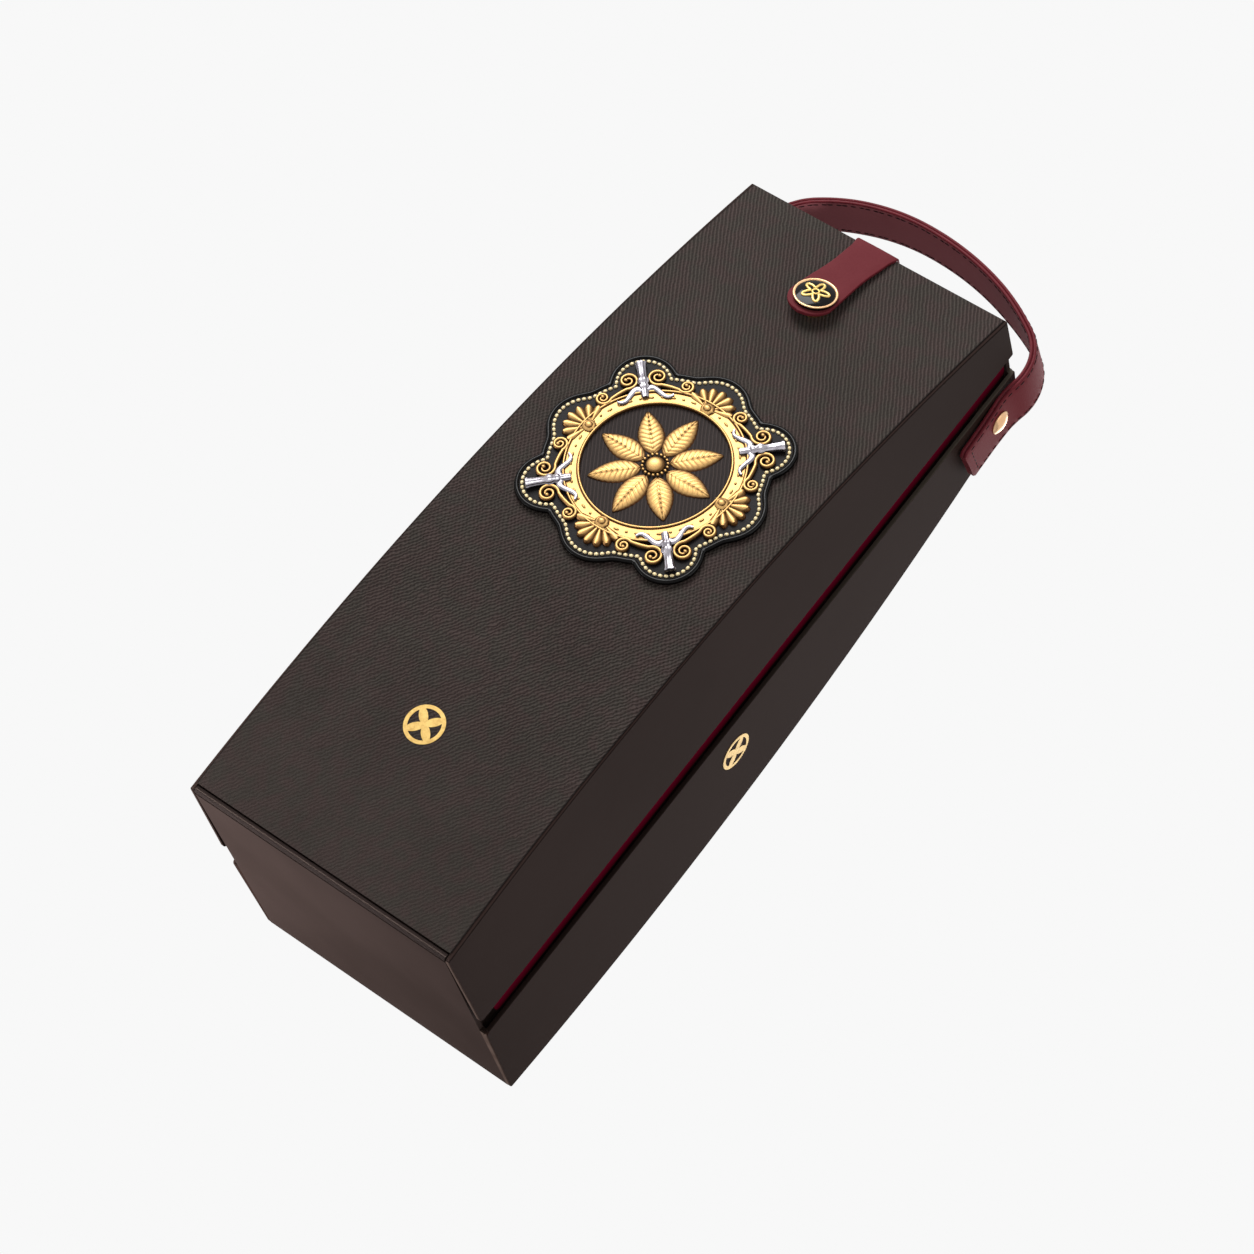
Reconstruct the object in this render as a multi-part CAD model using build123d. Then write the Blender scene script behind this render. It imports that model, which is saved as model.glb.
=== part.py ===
from build123d import *
import math
import os

# A tall gift box for one bottle. It is a clamshell: a back half that carries the bottom
# and top ends, and a lid that swings forward about the front edge of the bottom end.
# Millimetres. X is the width, Y runs from front to back, Z runs up to the handle.
# The origin is the middle of the underside, half way between front and back.

# Closed box, over its boards
box_width = 120.0
box_height = 328.0
bottom_depth = 117.0
top_depth = 58.4
bow_radius = 880.0

# Sheet materials
board = 2.0
side_board = 1.5
cover_sheet = 0.4
tray_board = 1.5
lining_board = 1.2
lining_sheet = 0.5
leather = 1.4
glue_line = 0.1

# Side boards: where their free edges lie, and how far they lean out per millimetre
lid_edge = 7.0
base_edge = 5.0
lid_lean = 0.038
base_lean = 0.025
side_corner = 2.2
side_top_corner = 0.8
side_round = 0.5
end_corner = 1.9
cover_inset = 1.0

# Hinge along the front of the bottom end
hinge_radius = 1.4
hinge_clearance = 0.3
end_clearance = 0.1
lid_top_clearance = 0.3

# Tray that stands up inside the back half and shows in the gap
tray_gap = 1.9
tray_rise = 20.0
tray_fit = 0.2

# Room for the bottle
bottle_radius = 42.0
bottle_neck_radius = 17.0
bottle_headroom = 16.0
neck_length = 74.0
shoulder_length = 35.0
bed_over = 6.0
seat_thickness = 4.5
bed_level = 3.0
bed_gap = 4.0
seat_inset = 4.0
seat_corner = 12.0
lid_pad_side = 10.0
lid_pad_rise = 14.0
lining_return = 7.2
lining_end_gap = 5.0

# Snap tab
tab_width = 17.0
tab_thickness = 1.4
tab_root_width = 19.0
tab_root_length = 44.0
tab_bend = 9.5
tab_tip = 9.3
tab_tip_radius = 9.2
tab_fold_radius = 1.8
snap_drop = 37.8
snap_offset = -0.8
snap_tilt = 6.5
snap_standoff = 3.6
stud_radius = 5.5
stud_flange = 1.0
snap_clearance = 0.5
stud_post_radius = 2.3
stud_post_height = 3.0
socket_radius = 6.2
socket_bore = 2.6
cap_radius = 7.9
cap_rise = 2.5
cap_foot = 1.6
rim_radius = 8.6
rim_height = 1.9

# Handle
handle_width = 21.5
handle_gap = 1.6
handle_lean = 8.0
handle_rise = 35.3
handle_tail = 20.8
handle_centre = 16.2
handle_shift = 1.5
handle_apex = -8.0
handle_flare_angle = 18.0
handle_flare_radius = 18.0
handle_shoulder_right = 20.5
handle_shoulder_left = 25.0
handle_flare_above = 5.2
handle_corner = 1.5
rivet_y = 16.6
rivet_drop = 16.6
rivet_shank = 2.0
rivet_running = 0.05
rivet_head = 4.9
rivet_foot = 0.3
rivet_dome = 1.9
rivet_inner_head = 4.5
rivet_seat = 0.1
washer_radius = 6.0

# Medallion on the front
medal_drop = 132.5
medal_core = 43.0
medal_corner_place = 39.0
medal_corner_radius = 13.0
medal_side_place = 33.0
medal_side_radius = 14.5
medal_thickness = 2.2
cord_inset = 2.4
cord_width = 1.0
cord_height = 0.6
frame_radius = 31.5
frame_width = 3.0
frame_height = 1.4
scroll_place = 34.6
scroll_radius = 4.4
scroll_width = 1.8
fan_radius = 8.6
petal_count = 8
petal_length = 20.0
petal_width = 9.5
petal_place = 15.0
petal_height = 1.6
boss_radius = 5.5
boss_height = 2.6
accent_place = 43.2
accent_length = 8.0
accent_width = 5.0
accent_corner = 1.6
accent_height = 1.5

# Foil marks
foil = 0.15
front_mark_x = -2.6
front_mark_z = 65.2
side_mark_y = 24.0
side_mark_z = 145.5
mark_radius = 7.8
mark_line = 1.5
mark_petal_width = 3.4

half_width = box_width / 2
tray_half_width = half_width - side_board - tray_gap
lid_pad_half_width = half_width - lid_pad_side
handle_inner = half_width + handle_gap
handle_top = box_height + handle_rise
rivet_z = box_height - rivet_drop
handle_flare_start = rivet_z + handle_flare_above
snap_height = box_height - snap_drop
medal_z = box_height - medal_drop
bottle_top = box_height - bottle_headroom
shoulder_end = bottle_top - neck_length
shoulder_start = shoulder_end - shoulder_length
bed_top = bottle_top + bed_over
half_bottom = bottom_depth / 2
half_top = top_depth / 2
reach = 3 * box_height

# Centre of the bowed back face in the YZ plane; the front face is its mirror image
chord = math.hypot(box_height, half_bottom - half_top)
bow_depth = math.sqrt(bow_radius ** 2 - chord ** 2 / 4)
bow_y = (half_bottom + half_top) / 2 - bow_depth * box_height / chord
bow_z = box_height / 2 - bow_depth * (half_bottom - half_top) / chord

# The sides lean about a straight line that runs half way along the bow
taper = (half_bottom - half_top) / box_height
mean_depth = half_bottom + (bow_radius - bow_depth) / 2


def half_depth(z, inset=0.0):
    """Distance of the bowed face from the middle plane at height z."""
    return bow_y + math.sqrt((bow_radius - inset) ** 2 - (z - bow_z) ** 2)


def window(y_low, y_high, z_low, z_high):
    """Rectangle in the YZ plane."""
    middle = Pos((y_low + y_high) / 2, (z_low + z_high) / 2)
    return middle * Rectangle(y_high - y_low, z_high - z_low)


def bow_disc(inset):
    return Pos(bow_y, bow_z) * Circle(bow_radius - inset)


def along_x(outline, half):
    """A YZ outline made solid between x = -half and x = half."""
    return extrude(Plane.YZ * outline, half, both=True)


def bowed_sheet(outer, inner, z_low, z_high, half):
    """Sheet between two insets of the back face."""
    ring = (bow_disc(outer) - bow_disc(inner)) & window(0, bottom_depth, z_low, z_high)
    return along_x(ring, half)


def to_front(shape):
    return mirror(shape, about=Plane.XZ)


def to_left(shape):
    return mirror(shape, about=Plane.YZ)


def lean_plane(lean, inset):
    """Outer plane of a right side of the back half, moved in by inset."""
    facing = Plane(origin=(half_width, mean_depth, 0), z_dir=(1, lean, lean * taper))
    return facing.offset(-inset)


def beyond(lean, inset):
    """All space outside a leaning side's plane."""
    return extrude(lean_plane(lean, inset) * Rectangle(reach, reach), half_width)


def lean_sheet(lean, outer, inner):
    return extrude(lean_plane(lean, inner) * Rectangle(reach, reach), inner - outer)


def between_sides(shape, outside):
    """Trim a shape by the space outside a right side and by its mirror image."""
    return shape - outside - to_left(outside)


def ease(shape, plane, radius):
    """Round the edges of a solid that lie in a plane."""
    def on_plane(edge):
        return all(abs(plane.to_local_coords(edge @ part).Z) < glue_line for part in (0, 0.5, 1))

    return fillet(shape.edges().filter_by(on_plane), radius)


def rounded(face, places, radius):
    """Round the corners of a YZ outline that lie at the given (y, z) places."""
    def is_named(corner):
        return any(math.hypot(corner.X - y, corner.Y - z) < board / 2 for y, z in places)

    return fillet(face.vertices().filter_by(is_named), radius)


def domed_disc(radius, foot, rise):
    """Disc about Z with a straight foot and a spherical crown."""
    crown = rise - foot
    ball = (radius ** 2 + crown ** 2) / (2 * crown)
    half_turn = math.asin(radius / ball) / 2
    middle = (ball * math.sin(half_turn), rise - ball + ball * math.cos(half_turn))
    profile = [Line((0, 0), (radius, 0)), Line((radius, 0), (radius, foot)),
               ThreePointArc((radius, foot), middle, (0, rise)), Line((0, rise), (0, 0))]
    return revolve(Plane.XZ * make_face(profile), Axis.Z)


def pair(make):
    """The same piece on the right and on the left."""
    right = make()
    return right, to_left(right)


# Sides of the back half
def base_side():
    outline = bow_disc(board_back) & window(base_edge, bottom_depth, 0, box_height)
    outline = rounded(outline, [(base_edge, 0)], side_corner)
    outline = rounded(outline, [(base_edge, box_height)], side_top_corner)
    side = along_x(outline, box_width) & lean_sheet(base_lean, 0, side_board)
    side = ease(side, lean_plane(base_lean, 0), side_round)
    standing = rounded(outline, [(half_depth(0, board_back), 0)], side_corner)
    side = side & along_x(standing, box_width)
    shank = Plane.YZ * Pos(rivet_y, rivet_z) * Circle(rivet_shank)
    return side - extrude(shank, box_width)


# Sides of the lid; the lower front corner turns about the hinge line
def lid_side():
    outline = bow_disc(board_back) & window(lid_edge, bottom_depth, 0, box_height)
    outline = rounded(outline, [(lid_edge, 0)], side_corner)
    outline = rounded(outline, [(lid_edge, box_height)], side_top_corner)
    side = along_x(outline, box_width) & lean_sheet(lid_lean, 0, side_board)
    side = ease(side, lean_plane(lid_lean, 0), side_round)
    turning = rounded(outline, [(half_bottom - board_back, 0)], hinge_radius)
    return to_front(side & along_x(turning, box_width))


# Bowed back board and its ribbed cover
board_back = cover_sheet + glue_line
board_face = board_back + board
inner_face = board_face + glue_line
back_board = bowed_sheet(board_back, board_face, board, box_height, half_width + board)
back_board = between_sides(back_board, beyond(base_lean, side_board))
cover_half = half_width - cover_inset
back_cover = bowed_sheet(0, cover_sheet, board, box_height, cover_half)


# The ends clear the lid's sides, and behind the gap they meet the back half's sides
def end_board(outline):
    front = along_x(outline, end_half)
    back = outline & window(base_edge, bottom_depth, 0, box_height)
    back = along_x(back, half_width + board)
    return front + between_sides(back, beyond(base_lean, side_board))


# Bottom end, full depth behind the hinge fold
end_half = half_width - side_board - end_clearance
hinge_y = half_bottom - hinge_radius
bottom_front = hinge_y - hinge_radius - hinge_clearance
bottom_outline = window(-bottom_front, half_bottom, 0, board)
bottom_outline = rounded(bottom_outline, [(half_bottom, 0)], end_corner)
bottom_board = end_board(bottom_outline)

# Top end, between the two bowed boards
top_back = half_top - board_face
top_front = top_back - lid_top_clearance
top_outline = window(-top_front, half_depth(box_height, board_face),
                     box_height - board, box_height)
top_board = end_board(top_outline & bow_disc(board_face))

# Rolled cloth fold that the lid turns about
hinge_fold = Plane.YZ * Pos(-hinge_y, hinge_radius) * Circle(hinge_radius)
hinge_fold = extrude(hinge_fold, end_half, both=True)

# Lid board and its ribbed cover, clear of the fold
lid_low = 2 * hinge_radius + hinge_clearance
lid_high = box_height - lid_top_clearance
front_board = bowed_sheet(board_back, board_face, lid_low, lid_high, half_width + board)
front_board = between_sides(to_front(front_board), to_front(beyond(lid_lean, side_board)))
front_cover = to_front(bowed_sheet(0, cover_sheet, lid_low, lid_high, cover_half))


# Tray: two long walls and two ends
def tray_side():
    outline = bow_disc(inner_face) & window(-tray_rise, bottom_depth, board,
                                            box_height - board)
    wall = extrude(Plane.YZ.offset(tray_half_width) * outline, -tray_board)
    return wall


def tray_end(z_low):
    outline = bow_disc(inner_face) & window(-tray_rise, bottom_depth, z_low,
                                            z_low + tray_board)
    return along_x(outline, tray_half_width - tray_board)


tray_end_bottom = tray_end(board)
tray_end_top = tray_end(box_height - board - tray_board)


# Foam that holds the bottle, with its shape cut out
def bottle_space():
    profile = Polyline((0, board), (bottle_radius, board), (bottle_radius, shoulder_start),
                       (bottle_neck_radius, shoulder_end), (bottle_neck_radius, bottle_top),
                       (0, bottle_top), (0, board))
    return revolve(Plane.XZ * make_face(profile), Axis.Z)


bottle = bottle_space()
lining_face = inner_face + lining_sheet
bed_half = tray_half_width - tray_board - tray_fit
seat_low = board + tray_board
seat_high = seat_low + seat_thickness


def bed(z_low, z_high):
    outline = bow_disc(inner_face) & window(bed_level, bottom_depth, z_low, z_high)
    return along_x(outline, bed_half) - bottle


body_bed = bed(seat_high + bed_gap, shoulder_end)
neck_bed = bed(shoulder_end, bed_top)

seat_depth = bottle_radius - seat_inset
seat_outline = Pos(0, (seat_depth - tray_rise) / 2) * RectangleRounded(
    2 * seat_depth, seat_depth + tray_rise, seat_corner)
bottle_seat = extrude(Pos(0, 0, seat_low) * seat_outline, seat_thickness)


def lid_pad(z_low, z_high):
    outline = bow_disc(lining_face + glue_line) & window(bed_level, bottom_depth,
                                                         z_low, z_high)
    return to_front(along_x(outline, lid_pad_half_width)) - bottle


lid_body_pad = lid_pad(lid_pad_rise, shoulder_end)
lid_neck_pad = lid_pad(shoulder_end, bottle_top)


# Burgundy lining of the lid: a board inside each side, proud of its edge, and a sheet
lining_low = lid_low + lining_end_gap
lining_high = box_height - lining_end_gap


def lid_side_lining():
    edge = lid_edge - lining_return
    outline = bow_disc(inner_face) & window(edge, bottom_depth, lining_low, lining_high)
    outline = rounded(outline, [(edge, lining_low), (edge, lining_high)], side_corner)
    sheet = lean_sheet(lid_lean, side_board, side_board + lining_board)
    return to_front(along_x(outline, box_width) & sheet)


lid_front_lining = to_front(bowed_sheet(inner_face, lining_face,
                                        lining_low, lining_high, half_width))
lid_front_lining = between_sides(lid_front_lining,
                                 to_front(beyond(lid_lean, side_board + lining_board)))


# Medallion pieces lie on the bowed front face
def on_front(outline, low, high):
    """An outline in X and Z laid on the front face, between two heights above it."""
    column = extrude(Plane.XZ * outline, bottom_depth)
    sheet = to_front(bowed_sheet(-high, -low, 0, box_height, half_width))
    return column & sheet


def ring_of(shape, count, place, start=0.0):
    """Copies of a shape around the medallion's middle."""
    step = 360 / count
    turns = [Rot(0, 0, start + step * i) * Pos(place, 0) * shape for i in range(count)]
    return Sketch() + turns


medal = Pos(0, medal_z)
quarter = 45
medal_outline = (Circle(medal_core)
                 + ring_of(Circle(medal_corner_radius), 4, medal_corner_place, quarter)
                 + ring_of(Circle(medal_side_radius), 4, medal_side_place))
medal_pad = on_front(medal * medal_outline, 0, medal_thickness)

cord_outer = offset(medal_outline, -cord_inset)
cord_inner = offset(medal_outline, -cord_inset - cord_width)
medal_cord = on_front(medal * (cord_outer - cord_inner), medal_thickness,
                      medal_thickness + cord_height)

scroll = Circle(scroll_radius) - Circle(scroll_radius - scroll_width)
frame_ring = Circle(frame_radius + frame_width / 2) - Circle(frame_radius - frame_width / 2)
outside_frame = (ring_of(scroll, 8, scroll_place, quarter / 2)
                 + ring_of(Circle(fan_radius), 4, frame_radius)) - Circle(frame_radius)
frame_outline = frame_ring + outside_frame
medal_frame = on_front(medal * frame_outline, medal_thickness,
                       medal_thickness + frame_height)

petal = Ellipse(petal_length / 2, petal_width / 2)
petals = ring_of(petal, petal_count, petal_place) - Circle(boss_radius)
medal_petals = on_front(medal * petals, medal_thickness, medal_thickness + petal_height)
medal_boss = on_front(medal * Circle(boss_radius), medal_thickness,
                      medal_thickness + boss_height)

accent = Rectangle(accent_length, accent_width)
accent = fillet(accent.vertices(), accent_corner)
medal_accents = on_front(medal * ring_of(accent, 4, accent_place, quarter),
                         medal_thickness, medal_thickness + accent_height)

# Foil marks: four petals in a ring
mark_ring = Circle(mark_radius) - Circle(mark_radius - mark_line)
mark_petal = Ellipse((mark_radius - mark_line / 2) / 2, mark_petal_width / 2)
mark = mark_ring + ring_of(mark_petal, 4, (mark_radius - mark_line / 2) / 2, quarter)
mark = mark + Circle(mark_line)
front_foil_mark = on_front(Pos(front_mark_x, front_mark_z) * mark, 0, foil)


def side_foil_mark():
    column = extrude(Plane.YZ * Pos(side_mark_y, side_mark_z) * mark, box_width)
    return column & lean_sheet(base_lean, -foil, 0)


# Snap: its axis leans up from square to the bowed face, as the tab slopes away from it
def tilted_normal(z, tilt):
    angle = math.asin((z - bow_z) / bow_radius) + math.radians(tilt)
    return (0, -math.cos(angle), math.sin(angle))


snap_plane = Plane(origin=(snap_offset, -half_depth(snap_height), snap_height),
                   x_dir=(1, 0, 0), z_dir=tilted_normal(snap_height, snap_tilt))


def on_snap(low, high, radius):
    return extrude(snap_plane.offset(low) * Circle(radius), high - low)


stud_foot = on_snap(-stud_flange, stud_flange, stud_radius)
stud_foot = stud_foot - to_front(along_x(bow_disc(0), half_width))
snap_stud = stud_foot + on_snap(stud_flange / 2, stud_post_height, stud_post_radius)

tab_top = snap_standoff + tab_thickness
snap_socket = (on_snap(stud_flange + snap_clearance, snap_standoff, socket_radius)
               - on_snap(0, snap_standoff, socket_bore))
snap_rim = (on_snap(tab_top, tab_top + rim_height, rim_radius)
            - on_snap(tab_top, tab_top + rim_height, cap_radius))
snap_cap = snap_plane.offset(tab_top).location * domed_disc(cap_radius, cap_foot, cap_rise)


# Leather tab: fixed to the top end, folded over the lid's edge, down to the snap
def strip(points, thickness):
    """Outline of a bent strip whose lower side follows the points."""
    lower = [Vector(y, z) for y, z in points]
    normals = []
    for a, b in zip(lower, lower[1:]):
        run = (b - a).normalized()
        normals.append(Vector(run.Y, -run.X))
    upper = [lower[0] + normals[0] * thickness]
    for middle, before, after in zip(lower[1:-1], normals, normals[1:]):
        split = (before + after).normalized()
        upper.append(middle + split * (thickness / split.dot(before)))
    upper.append(lower[-1] + normals[-1] * thickness)
    return make_face(Polyline(lower + upper[::-1], close=True))


def under_tab(along):
    """Point on the tab's underside, at a distance up the face from the snap."""
    point = snap_plane.from_local_coords(Vector(0, along, snap_standoff))
    return (point.Y, point.Z)


fold_y = -top_front
tab_over = box_height + tab_thickness
tab_path = [(fold_y, box_height), (-half_top - lid_top_clearance, box_height),
            under_tab(tab_bend), under_tab(-tab_tip)]
tab_side_view = strip([(-y, z) for y, z in tab_path], -tab_thickness)
tab_side_view = mirror(tab_side_view, about=Plane.YZ)


def is_fold(corner):
    return corner.Y > box_height and corner.X < -half_top


tab_side_view = fillet(tab_side_view.vertices().filter_by(is_fold), tab_fold_radius)
tab_low = under_tab(-tab_tip)[1] + tab_tip_radius
tab_half = tab_width / 2
root_half = tab_root_width / 2
tab_plan = make_face(Polyline(
    (snap_offset - tab_tip_radius, tab_low), (snap_offset + tab_tip_radius, tab_low),
    (tab_half, tab_low + tab_width), (root_half, tab_over), (-root_half, tab_over),
    (-tab_half, tab_low + tab_width), close=True))
tab_plan = tab_plan + Pos(snap_offset, tab_low) * Circle(tab_tip_radius)
closure_tab = (along_x(tab_side_view, tab_root_width)
               & extrude(Plane.XZ * tab_plan, bottom_depth))

tab_root_outline = window(fold_y, fold_y + tab_root_length, box_height, tab_over)
tab_root = along_x(tab_root_outline, root_half)


# Handle: two layers of leather, seen from the front as an arch of tangent arcs
def half_arch(span, shoulder, extra):
    """Area under one side of the handle's inner face, grown outward by extra.

    It reaches from x = 0, under the highest point, to the inner face at x = span.
    """
    flare = math.radians(handle_flare_angle)
    flare_radius = handle_flare_radius
    side_x = span + extra
    flare_x = span + flare_radius * (1 - math.cos(flare))
    flare_z = handle_flare_start + flare_radius * math.sin(flare)
    shoulder_x = flare_x - shoulder * math.cos(flare)
    shoulder_z = flare_z + shoulder * math.sin(flare)
    drop = handle_top - shoulder_z
    crown = (shoulder_x ** 2 + drop ** 2 - shoulder ** 2) / (2 * (drop - shoulder))
    crown_z = handle_top - crown
    tilt = math.atan2(shoulder_x, shoulder_z - crown_z)
    low = rivet_z - 2 * handle_tail
    flare_end = (flare_x + extra * math.cos(flare), flare_z - extra * math.sin(flare))
    flare_mid = (span + flare_radius - (flare_radius - extra) * math.cos(flare / 2),
                 handle_flare_start + (flare_radius - extra) * math.sin(flare / 2))
    outer_shoulder = shoulder + extra
    shoulder_mid_angle = (math.pi / 2 + flare + tilt) / 2
    shoulder_mid = (shoulder_x + outer_shoulder * math.sin(shoulder_mid_angle),
                    shoulder_z + outer_shoulder * math.cos(shoulder_mid_angle))
    shoulder_end_point = (shoulder_x + outer_shoulder * math.sin(tilt),
                          shoulder_z + outer_shoulder * math.cos(tilt))
    top = (0, handle_top + extra)
    crown_mid = ((crown + extra) * math.sin(tilt / 2),
                 crown_z + (crown + extra) * math.cos(tilt / 2))
    right = [Line((0, low), (side_x, low)), Line((side_x, low), (side_x, handle_flare_start)),
             ThreePointArc((side_x, handle_flare_start), flare_mid, flare_end),
             ThreePointArc(flare_end, shoulder_mid, shoulder_end_point),
             ThreePointArc(shoulder_end_point, crown_mid, top), Line(top, (0, low))]
    return make_face(right)


def arch(extra):
    """Both sides of the arch; its highest point lies a little to the left."""
    right = half_arch(handle_inner - handle_apex, handle_shoulder_right, extra)
    left = half_arch(handle_inner + handle_apex, handle_shoulder_left, extra)
    return Pos(handle_apex, 0) * (right + mirror(left, about=Plane.YZ))


def handle_side_view():
    """Outline from the side: leaning ends that turn upright into the arch."""
    lean = math.radians(handle_lean)
    up = Vector(-math.sin(lean), math.cos(lean))
    across = Vector(math.cos(lean), math.sin(lean)) * (handle_width / 2)
    middle = Vector(rivet_y + handle_shift, rivet_z)
    foot = middle - up * handle_tail
    front_y = handle_centre - handle_width / 2
    back_y = handle_centre + handle_width / 2
    front_rise = (middle.X - across.X - front_y) / math.sin(lean)
    back_rise = (middle.X + across.X - back_y) / math.sin(lean)
    front_turn = middle - across + up * front_rise
    back_turn = middle + across + up * back_rise
    over = handle_top + handle_width
    points = [foot - across, front_turn, Vector(front_y, over), Vector(back_y, over),
              back_turn, foot + across]
    face = make_face(Polyline(points, close=True))

    def is_foot(corner):
        return corner.Y < rivet_z - handle_tail / 2

    return fillet(face.vertices().filter_by(is_foot), handle_corner)


side_view = along_x(handle_side_view(), box_width)
rivet_hole = along_x(Pos(rivet_y, rivet_z) * Circle(rivet_shank + rivet_running), box_width)


def handle_layer(low, high):
    band = extrude(Plane.XZ * (arch(high) - arch(low)), bottom_depth, both=True)
    return (band & side_view) - rivet_hole


handle_inner_layer = handle_layer(0, leather)
handle_outer_layer = handle_layer(leather, 2 * leather)

# Rivets: shank through strap, washer and side, dome outside, flat head inside
handle_face = handle_inner + 2 * leather + rivet_seat
rivet_seat_x = tray_half_width + tray_fit
rivet_centre = Pos(rivet_y, rivet_z)


def rivet_disc(x_low, x_high, radius):
    return extrude(Plane.YZ.offset(x_low) * rivet_centre * Circle(radius), x_high - x_low)


def rivet():
    outer_head = Plane.YZ.offset(handle_face) * rivet_centre
    dome = outer_head * domed_disc(rivet_head, rivet_foot, rivet_dome)
    inner_head = rivet_disc(rivet_seat_x, half_width, rivet_inner_head)
    inner_head = inner_head - beyond(base_lean, side_board)
    return dome + rivet_disc(rivet_seat_x, handle_face, rivet_shank) + inner_head


def washer():
    ring = (rivet_disc(half_width - side_board, handle_inner - rivet_seat, washer_radius)
            - rivet_disc(half_width - side_board, handle_inner, rivet_shank))
    return ring & beyond(base_lean, 0)


base_side_right, base_side_left = pair(base_side)
lid_side_right, lid_side_left = pair(lid_side)
tray_side_right, tray_side_left = pair(tray_side)
lid_lining_right, lid_lining_left = pair(lid_side_lining)
rivet_right, rivet_left = pair(rivet)

nodes = {
    "bottom_board": bottom_board,
    "back_board": back_board,
    "back_cover": back_cover,
    "base_side_left": base_side_left,
    "base_side_right": base_side_right,
    "top_board": top_board,
    "hinge_fold": hinge_fold,
    "tray_side_left": tray_side_left,
    "tray_side_right": tray_side_right,
    "tray_end_bottom": tray_end_bottom,
    "tray_end_top": tray_end_top,
    "bottle_seat": bottle_seat,
    "body_bed": body_bed,
    "neck_bed": neck_bed,
    "side_foil_marks": pair(side_foil_mark),
    "tab_root": tab_root,
    "handle_rivet_left": rivet_left,
    "handle_rivet_right": rivet_right,
    "handle_washers": pair(washer),
    "front_board": front_board,
    "front_cover": front_cover,
    "lid_side_left": lid_side_left,
    "lid_side_right": lid_side_right,
    "lid_lining_left": lid_lining_left,
    "lid_lining_right": lid_lining_right,
    "lid_front_lining": lid_front_lining,
    "lid_body_pad": lid_body_pad,
    "lid_neck_pad": lid_neck_pad,
    "medal_pad": medal_pad,
    "medal_cord": medal_cord,
    "medal_frame": medal_frame,
    "medal_petals": medal_petals,
    "medal_boss": medal_boss,
    "medal_accents": medal_accents,
    "front_foil_mark": front_foil_mark,
    "snap_stud": snap_stud,
    "closure_tab": closure_tab,
    "snap_cap": snap_cap,
    "snap_rim": snap_rim,
    "snap_socket": snap_socket,
    "handle_inner": handle_inner_layer,
    "handle_outer": handle_outer_layer,
}

os.makedirs("parts", exist_ok=True)
for name, shape in nodes.items():
    solids = [solid for piece in (shape if isinstance(shape, tuple) else (shape,))
              for solid in piece.solids()]
    export_step(Compound(children=solids) if len(solids) > 1 else solids[0],
                f"parts/{name}.step")
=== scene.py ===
from math import asin, atan2, cos, hypot, pi, radians, sin, sqrt, tan

import bmesh
import bpy
from mathutils import Matrix, Vector


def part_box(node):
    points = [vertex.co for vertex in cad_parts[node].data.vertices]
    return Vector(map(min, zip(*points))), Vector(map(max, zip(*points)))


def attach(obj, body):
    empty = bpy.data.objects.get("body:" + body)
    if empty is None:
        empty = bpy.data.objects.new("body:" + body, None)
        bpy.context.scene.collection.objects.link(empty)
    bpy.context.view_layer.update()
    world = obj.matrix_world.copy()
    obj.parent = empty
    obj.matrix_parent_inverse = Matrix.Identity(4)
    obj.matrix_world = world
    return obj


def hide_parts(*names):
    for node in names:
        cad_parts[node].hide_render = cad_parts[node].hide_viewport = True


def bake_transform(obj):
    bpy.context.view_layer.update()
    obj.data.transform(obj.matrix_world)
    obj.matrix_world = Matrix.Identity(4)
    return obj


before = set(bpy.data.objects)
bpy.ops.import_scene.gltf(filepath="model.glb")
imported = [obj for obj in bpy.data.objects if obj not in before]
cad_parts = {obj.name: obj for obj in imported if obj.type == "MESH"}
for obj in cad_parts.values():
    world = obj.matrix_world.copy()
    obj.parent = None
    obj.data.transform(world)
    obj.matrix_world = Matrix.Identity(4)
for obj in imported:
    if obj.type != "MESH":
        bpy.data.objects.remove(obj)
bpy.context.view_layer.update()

# Camera. It looks up at the box from below its right front corner and is rolled, so the
# box lies slantwise across a square picture with its bottom end towards the viewer.
scene = bpy.context.scene
scene.view_settings.view_transform = "Standard"
view_right = Vector((0.7795, 0.1591, 0.6058)).normalized()
view_back = Vector((0.4044, -0.8665, -0.2928))
view_back = (view_back - view_right * view_back.dot(view_right)).normalized()
view_up = view_back.cross(view_right)
camera_data = bpy.data.cameras.new("camera")
camera_data.lens = 108.93
camera_data.sensor_width = 36
camera_data.clip_start = 0.05
camera_data.clip_end = 20
camera_place = Vector((0.5774, -1.2263, -0.2577))
camera_turn = Matrix((view_right, view_up, view_back)).transposed().to_4x4()
camera = bpy.data.objects.new("camera", camera_data)
camera.matrix_world = Matrix.Translation(camera_place) @ camera_turn
scene.collection.objects.link(camera)
scene.camera = camera


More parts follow.
